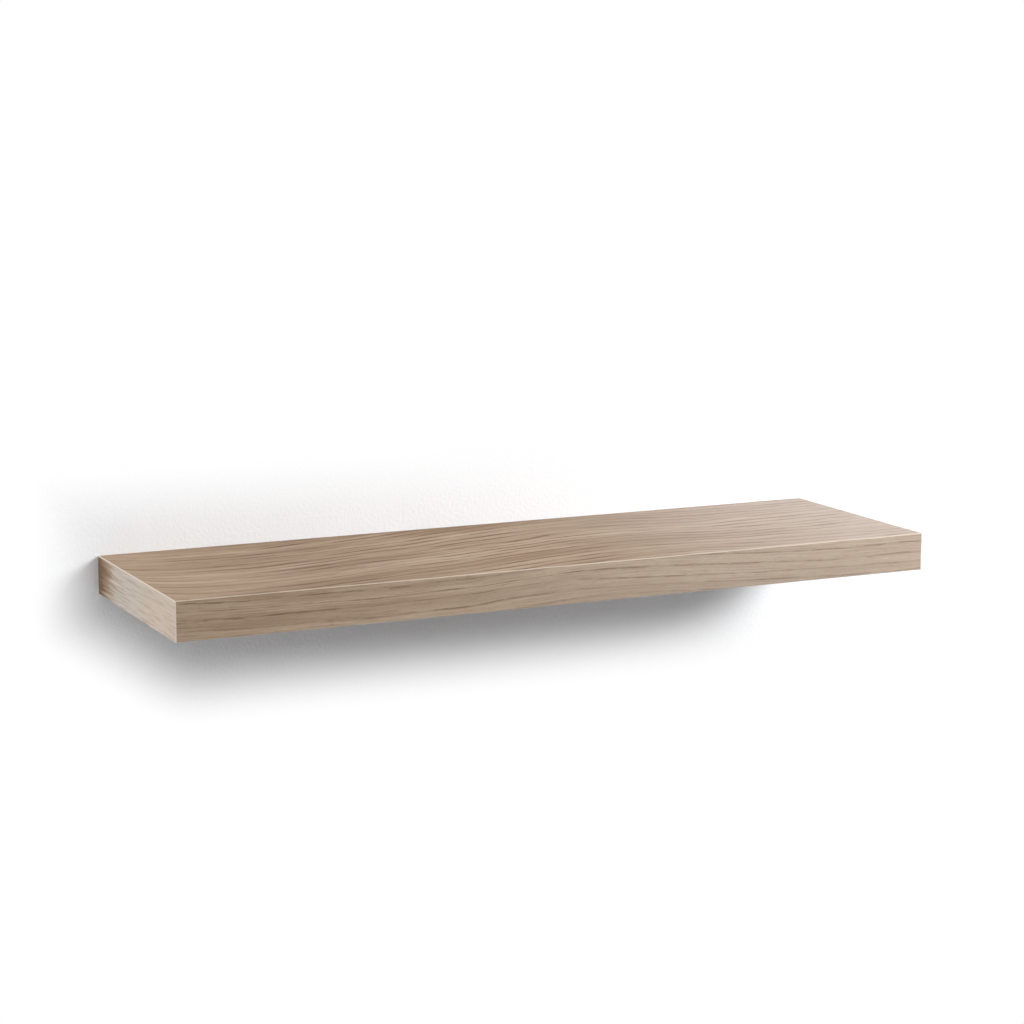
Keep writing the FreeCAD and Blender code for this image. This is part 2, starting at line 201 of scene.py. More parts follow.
# --- Rods -------------------------------------------------------------------------------------
# Bright drawn round bar, turned to a chamfer at the tip and plated with the plate. Drawing leaves fine lines
# along the rod, which is along Y.
ROD_LIGHT = paint(190, 193, 196)
ROD_DULL = paint(154, 158, 162)
DRAWN_LINE = (0.0005, 0.060, 0.0005)

drawn = Finish("drawn_rod", metallic=1.0)
lines = drawn.noise(drawn.place, DRAWN_LINE, detail=3.0)
haze = drawn.noise(drawn.place, CLOUD, detail=2.0, seed=4.0)
drawn.wear(
    drawn.mix(drawn.ramp(haze, 0.38, 0.62), ROD_LIGHT, ROD_DULL),
    drawn.math("ADD", drawn.ramp(lines, 0.35, 0.65, 0.24, 0.34), drawn.math("MULTIPLY", haze, 0.10)),
    lines,
    depth=0.00003,
)
dress(drawn, "rod_left", "rod_centre", "rod_right")

# --- Welds ------------------------------------------------------------------------------------
# One fillet bead round the foot of each rod, laid in small overlapping ripples and plated over. The ripples
# lean, because the bead cools from its edges inward while the torch moves on.
BEAD_COUNT = 3
BEAD_STEPS = 144
BEAD_ARC_STEPS = 7
BEAD_HOLLOW = 0.7  # how far behind the corner the bead's own arc is centred, in legs
RIPPLE_COUNT = 24
RIPPLE_DEPTH = 0.00022
RIPPLE_LEAN = 1.6
SAME_PLACE = 1e-6  # points nearer to each other than this are one
OFF_STEEL = 1e-5  # the bead's own corners are nearer than this to the rod or to the plate
WELD_SCALE = (0.004, 0.002, 0.004)
HEAT_BROWN = paint(150, 128, 96)


def as_object(name, shape):
    """Makes a bmesh an object in the scene."""
    mesh = bpy.data.meshes.new(name)
    shape.to_mesh(mesh)
    shape.free()
    made = bpy.data.objects.new(name, mesh)
    bpy.context.scene.collection.objects.link(made)
    return made


def finished(name, shape, finish, body, stands_for, crease=30.0):
    """Makes a bmesh a piece of the shelf that rides on a body, in the place of a CAD node."""
    bmesh.ops.recalc_face_normals(shape, faces=shape.faces)
    piece = as_object(name, shape)
    piece.data.shade_smooth()
    piece.data.set_sharp_from_angle(angle=math.radians(crease))
    piece.data.materials.append(finish.material)
    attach(piece, body)
    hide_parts(stands_for)


def vertices(geometry):
    return [part for part in geometry if isinstance(part, bmesh.types.BMVert)]


def repeated(shape, places):
    """Copies what a bmesh holds, so that it stands once at each place."""
    first = shape.verts[:] + shape.edges[:] + shape.faces[:]
    for place in places[1:]:
        copy = bmesh.ops.duplicate(shape, geom=first)["geom"]
        bmesh.ops.transform(shape, verts=vertices(copy), matrix=place)
    bmesh.ops.transform(shape, verts=vertices(first), matrix=places[0])


def row(node, count, width):
    """The X of each of several like solids that stand in one row, each of them that wide."""
    low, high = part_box(node)
    pitch = (high.x - low.x - width) / (count - 1)
    return [low.x + width / 2 + n * pitch for n in range(count)]


bead_low, bead_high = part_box("rod_welds")
rod_low, rod_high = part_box("rod_centre")
rod_radius = (rod_high.z - rod_low.z) / 2
bead_radius = (bead_high.z - bead_low.z) / 2
bead_leg = bead_radius - rod_radius
plate_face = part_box("wall_plate")[0].y

bead = bmesh.new()
corner = bead.verts.new((rod_radius, plate_face, 0))
toe = bead.verts.new((bead_radius, plate_face, 0))
arc_centre = corner.co - Vector((BEAD_HOLLOW, -BEAD_HOLLOW, 0)) * bead_leg
to_toe = toe.co - arc_centre
half_turn = math.pi / 4 - math.atan2(-to_toe.y, to_toe.x)
bmesh.ops.spin(
    bead, geom=[toe], cent=arc_centre, axis=(0, 0, 1), angle=-2 * half_turn, steps=BEAD_ARC_STEPS,
    use_merge=False,
)
throat = min((v for v in bead.verts if v is not corner), key=lambda v: v.co.y)
bead.edges.new((corner, toe))
bead.edges.new((throat, corner))
bmesh.ops.spin(
    bead, geom=bead.verts[:] + bead.edges[:], cent=(0, 0, 0), axis=(0, 1, 0), angle=2 * math.pi,
    steps=BEAD_STEPS, use_merge=True,
)
bmesh.ops.remove_doubles(bead, verts=bead.verts, dist=SAME_PLACE)
for vertex in bead.verts:
    out = math.hypot(vertex.co.x, vertex.co.z) - rod_radius
    up = plate_face - vertex.co.y
    on_face = out > OFF_STEEL and up > OFF_STEEL
    if on_face:
        turn = math.atan2(vertex.co.z, vertex.co.x)
        middle = 1 - abs(out - up) / bead_leg
        ripple = 0.5 - 0.5 * math.cos(RIPPLE_COUNT * turn - RIPPLE_LEAN * middle)
        inward = Vector((-vertex.co.x, 0, -vertex.co.z)).normalized() + Vector((0, 1, 0))
        vertex.co += inward.normalized() * RIPPLE_DEPTH * ripple * middle
repeated(bead, [Matrix.Translation((x, 0, 0)) for x in row("rod_welds", BEAD_COUNT, 2 * bead_radius)])

weld_finish = Finish("plated_weld", metallic=1.0)
scale = weld_finish.noise(weld_finish.place, WELD_SCALE, detail=3.0)
speckle = weld_finish.noise(weld_finish.place, PLATING_GRAIN, detail=3.0, seed=9.0)
weld_finish.wear(
    weld_finish.mix(
        weld_finish.ramp(scale, 0.48, 0.72, 0.0, 0.45),
        weld_finish.mix(speckle, ZINC_DULL, ZINC_LIGHT),
        HEAT_BROWN,
    ),
    weld_finish.ramp(speckle, 0.3, 0.7, 0.36, 0.52),
    speckle,
    depth=0.00008,
)
finished("rod_welds_rippled", bead, weld_finish, "bracket", "rod_welds", crease=50)

# --- Wall plugs -------------------------------------------------------------------------------
# Grey nylon, injection moulded: a ribbed collar at the mouth that stops it turning, then saw teeth that grip
# the hole, and a slit that lets the screw spread it.
PLUG_COUNT = 4
PLUG_BORE = 0.0025
PLUG_COLLAR = 0.012
PLUG_COLLAR_INSET = 0.0004  # the collar is this much slimmer than its ribs
PLUG_TEETH = 7
PLUG_TOOTH_DEPTH = 0.0007
PLUG_STEEP_SHARE = 0.12
PLUG_SLIT = 0.0010
PLUG_RIBS = 4
PLUG_RIB_WIDTH = 0.0010
PLUG_LIP = 0.0004
PLUG_ROUND = 48
CUT_TOLERANCE = 1e-7  # points of a cut nearer to each other than this are one


def outline(shape, points, looped=True):
    """A line through (distance from the Y axis, distance along it) points, ready to be turned."""
    corners = [shape.verts.new((radius, along, 0)) for radius, along in points]
    pairs = list(zip(corners, corners[1:])) + ([(corners[-1], corners[0])] if looped else [])
    return corners + [shape.edges.new(pair) for pair in pairs]


def turned(shape, points, steps):
    """Turns a looped line all the way round the Y axis."""
    bmesh.ops.spin(
        shape, geom=outline(shape, points), cent=(0, 0, 0), axis=(0, 1, 0), angle=2 * math.pi, steps=steps,
        use_merge=True,
    )
    bmesh.ops.remove_doubles(shape, verts=shape.verts, dist=SAME_PLACE)


def brick(shape, low, high):
    """A block between two corners."""
    middle = Matrix.Translation((Vector(low) + Vector(high)) / 2)
    size = Matrix.Diagonal((*(Vector(high) - Vector(low)), 1))
    return bmesh.ops.create_cube(shape, size=1, matrix=middle @ size)["verts"]


def combined(shape, cutter, operation="DIFFERENCE"):
    """The bmesh with another one cut away from it, or joined to it."""
    both = []
    for part in (shape, cutter):
        bmesh.ops.recalc_face_normals(part, faces=part.faces)
        both.append(as_object("part", part))
    boolean = both[0].modifiers.new("cut", "BOOLEAN")
    boolean.operation = operation
    boolean.solver = "EXACT"
    boolean.object = both[1]
    bpy.context.view_layer.update()
    result = bmesh.new()
    result.from_object(both[0], bpy.context.evaluated_depsgraph_get())
    for part in both:
        bpy.data.meshes.remove(part.data)
    bmesh.ops.remove_doubles(result, verts=result.verts, dist=CUT_TOLERANCE)
    return result


plug_low, plug_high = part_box("wall_plugs")
plug_outer = (plug_high.z - plug_low.z) / 2
plug_mouth, plug_end = plug_low.y, plug_high.y
collar_end = plug_mouth + PLUG_COLLAR
collar_radius = plug_outer - PLUG_COLLAR_INSET
profile = [
    (PLUG_BORE, plug_mouth),
    (collar_radius - PLUG_LIP, plug_mouth),
    (collar_radius, plug_mouth + PLUG_LIP),
    (collar_radius, collar_end),
]
tooth = (plug_end - collar_end) / PLUG_TEETH
for n in range(PLUG_TEETH):
    start = collar_end + n * tooth
    profile.append((plug_outer - PLUG_TOOTH_DEPTH, start + PLUG_STEEP_SHARE * tooth))
    profile.append((plug_outer, start + tooth))
profile.append((PLUG_BORE, plug_end))
plug = bmesh.new()
turned(plug, profile, PLUG_ROUND)
ribs = bmesh.new()
for n in range(PLUG_RIBS):
    rib = brick(
        ribs, (collar_radius - PLUG_LIP, plug_mouth + PLUG_LIP, -PLUG_RIB_WIDTH / 2),
        (plug_outer, collar_end, PLUG_RIB_WIDTH / 2),
    )
    about_y = Matrix.Rotation(math.radians(45) + 2 * math.pi * n / PLUG_RIBS, 3, "Y")
    bmesh.ops.rotate(ribs, verts=rib, cent=(0, 0, 0), matrix=about_y)
plug = combined(plug, ribs, "UNION")
slit = bmesh.new()
brick(slit, (-2 * plug_outer, collar_end, -PLUG_SLIT / 2), (2 * plug_outer, 2 * plug_end, PLUG_SLIT / 2))
plug = combined(plug, slit)
random.seed(11)
repeated(plug, [
    Matrix.Translation((x, 0, 0)) @ Matrix.Rotation(random.choice((0, math.pi / 2)), 4, "Y")
    for x in row("wall_plugs", PLUG_COUNT, 2 * plug_outer)
])

NYLON_GREY = paint(150, 153, 154)
NYLON_PALE = paint(172, 175, 175)
NYLON_SWIRL = (0.006, 0.015, 0.006)
NYLON_SKIN = (0.0004, 0.0004, 0.0004)
NYLON_GLOW = 0.002  # how far light spreads in it
nylon = Finish("grey_nylon")
nylon.shader.inputs["Subsurface Weight"].default_value = 0.08
nylon.shader.inputs["Subsurface Radius"].default_value = (NYLON_GLOW,) * 3
swirl = nylon.noise(nylon.place, NYLON_SWIRL, detail=3.0)
skin = nylon.noise(nylon.place, NYLON_SKIN)
nylon.wear(
    nylon.mix(nylon.ramp(swirl, 0.35, 0.65), NYLON_GREY, NYLON_PALE),
    nylon.ramp(skin, 0.3, 0.7, 0.38, 0.52),
    skin,
    depth=0.00004,
)
finished("wall_plugs_moulded", plug, nylon, "bracket", "wall_plugs")

# --- Wall screws ------------------------------------------------------------------------------
# Countersunk chipboard screws with a rolled thread and a cross recess, hardened and yellow passivated. They
# come through the plate into the plugs.
SCREW_COUNT = 4
SCREW_NECK = 0.0025  # radius
SCREW_CORE = 0.0017
SCREW_PITCH = 0.0026
SCREW_POINT = 0.0060
SCREW_RUN_IN = 0.0012
SCREW_HEAD_RIM = 0.0003
RECESS_ARM = 0.0021
RECESS_ARM_WIDTH = 0.0011
RECESS_DEPTH = 0.0021
RECESS_TAPER = 0.45
THREAD_STEPS = 24


def threaded(shape, section, pitch, start, end):
    """A helical thread round Y from start to end, from a section of (radius, share of the pitch) points."""
    turns = math.ceil((end - start) / pitch) + 2
    points = [(radius, start + (share - 1) * pitch) for radius, share in section]
    bmesh.ops.spin(
        shape, geom=outline(shape, points, looped=False), cent=(0, 0, 0), axis=(0, 1, 0),
        dvec=(0, pitch / THREAD_STEPS, 0), angle=2 * math.pi * turns, steps=THREAD_STEPS * turns,
    )
    bmesh.ops.remove_doubles(shape, verts=shape.verts, dist=SAME_PLACE)
    for place, way in ((start, -1), (end, 1)):
        everything = shape.verts[:] + shape.edges[:] + shape.faces[:]
        bmesh.ops.bisect_plane(
            shape, geom=everything, plane_co=(0, place, 0), plane_no=(0, way, 0), dist=CUT_TOLERANCE,
            clear_outer=True,
        )


def rim(shape, along):
    """The open edges that lie at one place along Y."""
    open_edges = [edge for edge in shape.edges if edge.is_boundary]
    return [edge for edge in open_edges if all(abs(v.co.y - along) < SAME_PLACE for v in edge.verts)]


def grown(shape, edges, radius, along):
    """Extrudes an open rim to a circle of that radius, further along Y, and returns the new rim."""
    new = bmesh.ops.extrude_edge_only(shape, edges=edges)["geom"]
    for vertex in vertices(new):
        across = Vector((vertex.co.x, 0, vertex.co.z)).normalized() * radius
        vertex.co = Vector((across.x, along, across.z))
    return [part for part in new if isinstance(part, bmesh.types.BMEdge)]


def closed(shape, edges):
    """Fills a flat rim."""
    bmesh.ops.triangle_fill(shape, use_beauty=True, use_dissolve=True, edges=edges)


screw_low, screw_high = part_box("wall_screws")
head_radius = (screw_high.z - screw_low.z) / 2
head_top, screw_end = screw_low.y, screw_high.y
thread_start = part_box("wall_plugs")[0].y
crest = SCREW_NECK
screw_section = [
    (SCREW_CORE, 0), (SCREW_CORE, 0.36), (crest, 0.47), (crest, 0.53), (SCREW_CORE, 0.64), (SCREW_CORE, 1),
]
screw = bmesh.new()
thread_end = screw_end - SCREW_PITCH / 8
threaded(screw, screw_section, SCREW_PITCH, thread_start, thread_end)
for vertex in screw.verts:
    run_in = min(1, (vertex.co.y - thread_start) / SCREW_RUN_IN)
    point = min(1, (screw_end - vertex.co.y) / SCREW_POINT)
    radius = math.hypot(vertex.co.x, vertex.co.z)
    eased = SCREW_CORE + (radius - SCREW_CORE) * run_in
    vertex.co.x *= eased / radius * point
    vertex.co.z *= eased / radius * point
tip = rim(screw, thread_end)
bmesh.ops.pointmerge(screw, verts=list({v for e in tip for v in e.verts}), merge_co=(0, screw_end, 0))
neck = grown(screw, rim(screw, thread_start), SCREW_NECK, thread_start - SCREW_RUN_IN)
under_head = head_top + SCREW_HEAD_RIM + (head_radius - SCREW_NECK)
neck = grown(screw, neck, SCREW_NECK, under_head)
neck = grown(screw, neck, head_radius, head_top + SCREW_HEAD_RIM)
neck = grown(screw, neck, head_radius - SCREW_HEAD_RIM / 3, head_top)
closed(screw, neck)
for turn in (0, math.pi / 2):
    recess = bmesh.new()
    brick(
        recess, (-RECESS_ARM, head_top - RECESS_DEPTH, -RECESS_ARM_WIDTH / 2),
        (RECESS_ARM, head_top + RECESS_DEPTH, RECESS_ARM_WIDTH / 2),
    )
    for vertex in recess.verts:
        depth = (vertex.co.y - head_top) / RECESS_DEPTH
        vertex.co.x *= 1 - RECESS_TAPER * depth
        vertex.co.z *= 1 - RECESS_TAPER * depth
    bmesh.ops.rotate(recess, verts=recess.verts, cent=(0, 0, 0), matrix=Matrix.Rotation(turn, 3, "Y"))
    screw = combined(screw, recess)
random.seed(5)
repeated(screw, [
    Matrix.Translation((x, 0, 0)) @ Matrix.Rotation(random.uniform(0, math.pi / 2), 4, "Y")
    for x in row("wall_screws", SCREW_COUNT, 2 * head_radius)
])

PASSIVATED_GOLD = paint(206, 180, 118)
PASSIVATED_GREEN = paint(176, 172, 128)
PASSIVATED_CLOUD = (0.004, 0.004, 0.004)
PASSIVATED_DUST = (0.0003, 0.0003, 0.0003)
passivated = Finish("yellow_passivated_steel", metallic=1.0)
tint = passivated.noise(passivated.place, PASSIVATED_CLOUD, detail=2.0)
dust = passivated.noise(passivated.place, PASSIVATED_DUST, detail=2.0)
passivated.wear(
    passivated.mix(passivated.ramp(tint, 0.35, 0.65), PASSIVATED_GOLD, PASSIVATED_GREEN),
    passivated.ramp(dust, 0.3, 0.7, 0.22, 0.36),
    dust,
    depth=0.00002,
)
finished("wall_screws_threaded", screw, passivated, "bracket", "wall_screws")

# --- Rails and ribs ---------------------------------------------------------------------------
# Strips sawn from raw particleboard: pressed wood chips, that lie flat in the board and show as thin flakes
# on its cut edges, with small gaps between them. The ribs and the back rail are bored for the rods.
CHIP = (0.0050, 0.0050, 0.0010)
FINE_CHIP = (0.0017, 0.0017, 0.0006)
CHIP_FIBRE = (0.0015, 0.0015, 0.0004)
CHIP_STRAYS = (0.0012, 0.0012, 0.0004)  # how far the chips' outlines stray from straight
CHIP_STRAY_PITCH = 0.0025
CHIP_TAN = paint(196, 166, 126)
CHIP_PALE = paint(219, 197, 160)
CHIP_BROWN = paint(150, 114, 78)
CHIP_GAP = paint(98, 72, 48)

chipboard = Finish("raw_particleboard", specular=0.3)
stray = chipboard.add("ShaderNodeTexNoise", {"Vector": chipboard.place, "Scale": 1 / CHIP_STRAY_PITCH}, 1)
stray_terms = {0: stray, 1: CHIP_STRAYS, 2: chipboard.place}
strayed = chipboard.add("ShaderNodeVectorMath", stray_terms, operation="MULTIPLY_ADD")
large = chipboard.cells(strayed, CHIP)[0]
small, small_edge = chipboard.cells(strayed, FINE_CHIP)
fibre = chipboard.noise(chipboard.place, CHIP_FIBRE, detail=3.0)
chips = chipboard.mix(chipboard.ramp(large, 0.1, 0.9), CHIP_TAN, CHIP_PALE)
chips = chipboard.mix(chipboard.ramp(small, 0.55, 0.95, 0.0, 0.75), chips, CHIP_BROWN)
gap = chipboard.math("MULTIPLY", chipboard.ramp(small_edge, 0.55, 0.80), chipboard.ramp(fibre, 0.45, 0.60))
chips = chipboard.mix(chipboard.ramp(fibre, 0.35, 0.65, 0.35, 0.0), chips, CHIP_BROWN)
chipboard.wear(
    chipboard.mix(gap, chips, CHIP_GAP),
    chipboard.ramp(fibre, 0.3, 0.7, 0.90, 0.74),
    chipboard.math("SUBTRACT", fibre, gap),
    depth=0.00025,
)
dress(chipboard, "front_rail", "back_rail", "left_end_rail", "right_end_rail")
dress(chipboard, "rod_rib_left", "rod_rib_centre", "rod_rib_right")

# --- Staples ----------------------------------------------------------------------------------
# Flat galvanised wire, bent and driven over each butt joint of the frame, above and below. They only hold the
# frame together until the skins are glued on.
STAPLE_CROWN = 0.010
STAPLE_LEG = 0.010
STAPLE_WIDE = 0.0012
STAPLE_THIN = 0.0006
STAPLE_BEND = 0.0005
STAPLE_EDGE = 0.00012
STAPLE_POINT = 0.0008
ROD_CLEARANCE = 0.0003  # round each rod, in the bore that the rib has for it


def prism(shape, outline_points, thickness):
    """A flat outline in the XZ plane, given a thickness along Y and centred on it."""
    face = shape.faces.new([shape.verts.new((x, -thickness / 2, z)) for x, z in outline_points])
    grown_part = bmesh.ops.extrude_face_region(shape, geom=[face], use_keep_orig=True)["geom"]
    bmesh.ops.translate(shape, verts=vertices(grown_part), vec=(0, thickness, 0))
    bmesh.ops.recalc_face_normals(shape, faces=shape.faces)


def softened(shape, edges, width, steps=1):
    """Rounds those edges over."""
    bmesh.ops.bevel(
        shape, geom=edges, offset=width, offset_type="OFFSET", segments=steps, profile=0.5, affect="EDGES",
        material=-1, clamp_overlap=True,
    )


half_crown = STAPLE_CROWN / 2
inner = half_crown - STAPLE_THIN
half_outline = [
    (half_crown, 0), (half_crown, -STAPLE_LEG), (inner, STAPLE_POINT - STAPLE_LEG), (inner, -STAPLE_THIN),
]
staple = bmesh.new()
prism(staple, half_outline + [(-x, z) for x, z in reversed(half_outline)], STAPLE_WIDE)
shoulders = [
    e for e in staple.edges
    if all(v.co.z > -STAPLE_THIN / 2 and abs(v.co.x) > inner for v in e.verts)
    and e.verts[0].co.x * e.verts[1].co.x > 0
]
softened(staple, shoulders, STAPLE_BEND, steps=3)
softened(staple, [e for e in staple.edges if e.calc_face_angle() > math.radians(60)], STAPLE_EDGE)

front_rail, back_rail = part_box("front_rail"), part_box("back_rail")
joint_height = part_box("top_skin")[0].z
bay_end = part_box("right_end_rail")[0].x
ribs_across = [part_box(f"rod_rib_{place}") for place in ("left", "centre", "right")]
half_rib = (ribs_across[0][1].x - ribs_across[0][0].x) / 2
beside_bore = (rod_radius + ROD_CLEARANCE + half_rib) / 2
spots = [
    (side * bay_end, (low.y + high.y) / 2, 0) for side in (-1, 1) for low, high in (front_rail, back_rail)
]
for low, high in ribs_across:
    rib_middle = (low.x + high.x) / 2
    beside = rib_middle + math.copysign(beside_bore, round(rib_middle, 6))
    spots += [(beside, low.y, math.pi / 2), (beside, high.y, math.pi / 2)]
driven = []
for x, y, turn in spots:
    for side, flip in ((1, 0), (-1, math.pi)):
        place = Matrix.Translation((x, y, side * joint_height))
        driven.append(place @ Matrix.Rotation(flip, 4, "X") @ Matrix.Rotation(turn, 4, "Z"))
repeated(staple, driven)

GALVANISED = paint(178, 181, 184)
GALVANISED_DULL = paint(140, 144, 148)
GALVANISED_BLOOM = (0.002, 0.002, 0.002)
galvanised = Finish("galvanised_wire", metallic=1.0)
bloom = galvanised.noise(galvanised.place, GALVANISED_BLOOM, detail=3.0)
galvanised.wear(
    galvanised.mix(galvanised.ramp(bloom, 0.35, 0.65), GALVANISED, GALVANISED_DULL),
    galvanised.ramp(bloom, 0.3, 0.7, 0.34, 0.50),
    bloom,
    depth=0.00002,
)
finished("frame_staples_bent", staple, galvanised, "board", "frame_staples")

# --- Honeycomb --------------------------------------------------------------------------------
# Kraft paper, glued in lines and pulled open to hexagon cells, one block in each bay. Its fibres lie mostly
# level, round the cells, and it has darkened in patches.
KRAFT = paint(190, 152, 110)
KRAFT_DARK = paint(158, 120, 82)
KRAFT_FIBRE = (0.0030, 0.0030, 0.0006)
KRAFT_PATCH = (0.020, 0.020, 0.020)

kraft = Finish("kraft_paper", specular=0.2)
pulp = kraft.noise(kraft.place, KRAFT_FIBRE, detail=4.0)
damp = kraft.noise(kraft.place, KRAFT_PATCH)
kraft.wear(
    kraft.mix(kraft.ramp(damp, 0.35, 0.65, 0.1, 0.5), kraft.mix(pulp, KRAFT, KRAFT_DARK), KRAFT_DARK),
    kraft.ramp(pulp, 0.3, 0.7, 0.92, 0.80),
    pulp,
    depth=0.00008,
)
dress(kraft, *[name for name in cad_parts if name.startswith("honeycomb_bay")])

# --- Skins ------------------------------------------------------------------------------------
# Hardboard, 4 mm: wood fibre pressed hot and hard, dark brown, glued to the frame above and below. Its cut
# edges show as a fine felt of layers.
HARDBOARD = paint(126, 92, 62)
HARDBOARD_DARK = paint(96, 68, 46)
HARDBOARD_FIBRE = (0.0012, 0.0012, 0.00025)
HARDBOARD_BLOTCH = (0.015, 0.015, 0.004)

hardboard = Finish("hardboard", specular=0.35)
felt = hardboard.noise(hardboard.place, HARDBOARD_FIBRE, detail=4.0)
blotch = hardboard.noise(hardboard.place, HARDBOARD_BLOTCH)
felted = hardboard.mix(felt, HARDBOARD, HARDBOARD_DARK)
hardboard.wear(
    hardboard.mix(hardboard.ramp(blotch, 0.3, 0.7, 0.0, 0.4), felted, HARDBOARD),
    hardboard.ramp(felt, 0.3, 0.7, 0.82, 0.62),
    felt,
    depth=0.00012,
)
dress(hardboard, "top_skin", "bottom_skin")

# --- Laminates --------------------------------------------------------------------------------
# Oak decor on the top and the underside: paper printed with taupe oak, sealed in resin and pressed with a
# fine wood texture. The grain runs the length of the shelf: long bands and rings, and short dark pores.
OAK_PALE = paint(188, 168, 145)
OAK_MIDDLE = paint(171, 149, 126)
OAK_BROWN = paint(146, 122, 99)
OAK_LINE = paint(113, 90, 71)
OAK_PORE = paint(98, 77, 60)
# painted sheen on the ends, palest towards the front
OAK_END_PAINTED_SHEEN = paint(208, 199, 190)
# painted sheen: the paler, greyer colour of the top and underside towards the right end
OAK_PAINTED_SHEEN = paint(204, 194, 187)
# painted light: warmer and paler, at the left end of the top and underside and towards the front of the ends
OAK_PAINTED_LIGHT = paint(216, 190, 164)
PAINTED_SHEEN_SPAN_RIGHT = (-0.05, 0.42)  # X, from where there is no painted sheen to where it is strongest, paler and greyer to the right
# painted light, X, from where there is none to where it is strongest
PAINTED_LIGHT_SPAN_LEFT = (-0.22, -0.40)
PAINTED_LIGHT_OVER_LINES = 0.5  # how much of the painted light and painted sheen lies over the lines too
UNEVEN_YEARS = 0.9  # how many rings the lines stray by, so that the space between them varies
OAK_FIBRE = (0.030, 0.0007)
OAK_TEXTURE = 0.00006
LAMINATE_CORE = paint(96, 74, 56)
length_box, thickness_box = cad_box[1].x, cad_box[1].z  # half the board's length and thickness

# How one cut of the oak lies. Each pair is a feature's length along the grain and its size across it, and
# each "by" is how far that feature shifts the grain sideways. The flow is how the grain rises and falls from
# one end of the shelf to the other, as (share of the shelf's length, share of flow_by) points. Where a name
# ends in "share", it is how strongly the feature shows.
FLAT_SAWN = {
    "flow": [
        (0, 0.50), (0.07, 0.80), (0.14, 0.82), (0.33, 0.58),
        (0.50, 0.32), (0.62, 0.22), (0.80, 0.38), (1, 0.34),
    ],
    "flow_by": 0.100, "sway": (0.200, 0.160), "sway_by": 0.026, "bend": (0.070, 0.045), "bend_by": 0.006,
    "wobble": (0.034, 0.014), "wobble_by": 0.0013, "pitch": 0.0140, "line_from": 0.52, "drift": 2.2,
    "flame": (0.500, 0.060), "dash": (0.050, 0.008), "hair": 0.0048, "band": (0.300, 0.030), "contrast": 1.0,
    "shade": 0.07, "line_share": 1.0, "streak": (0.120, 0.0028), "streak_share": 0.56,
    "pore": (0.012, 0.0010),
}
STRAIGHT = {
    "flow": [
        (0, 0.45), (0.16, 0.64), (0.28, 0.68), (0.44, 0.34),
        (0.56, 0.12), (0.66, 0.30), (0.80, 0.64), (1, 0.90),
    ],
    "flow_by": 0.016, "sway": (0.200, 0.080), "sway_by": 0.004, "bend": (0.050, 0.030), "bend_by": 0.0016,
    "wobble": (0.014, 0.006), "wobble_by": 0.0006, "pitch": 0.0098, "line_from": 0.74, "drift": 1.4,
    "flame": (0.450, 0.024), "dash": (0.024, 0.003), "hair": 0.0027, "band": (0.300, 0.012), "contrast": 0.56,
    "shade": -0.012, "line_share": 0.80, "streak": (0.060, 0.0012), "streak_share": 0.28,
    "pore": (0.006, 0.0006),
}


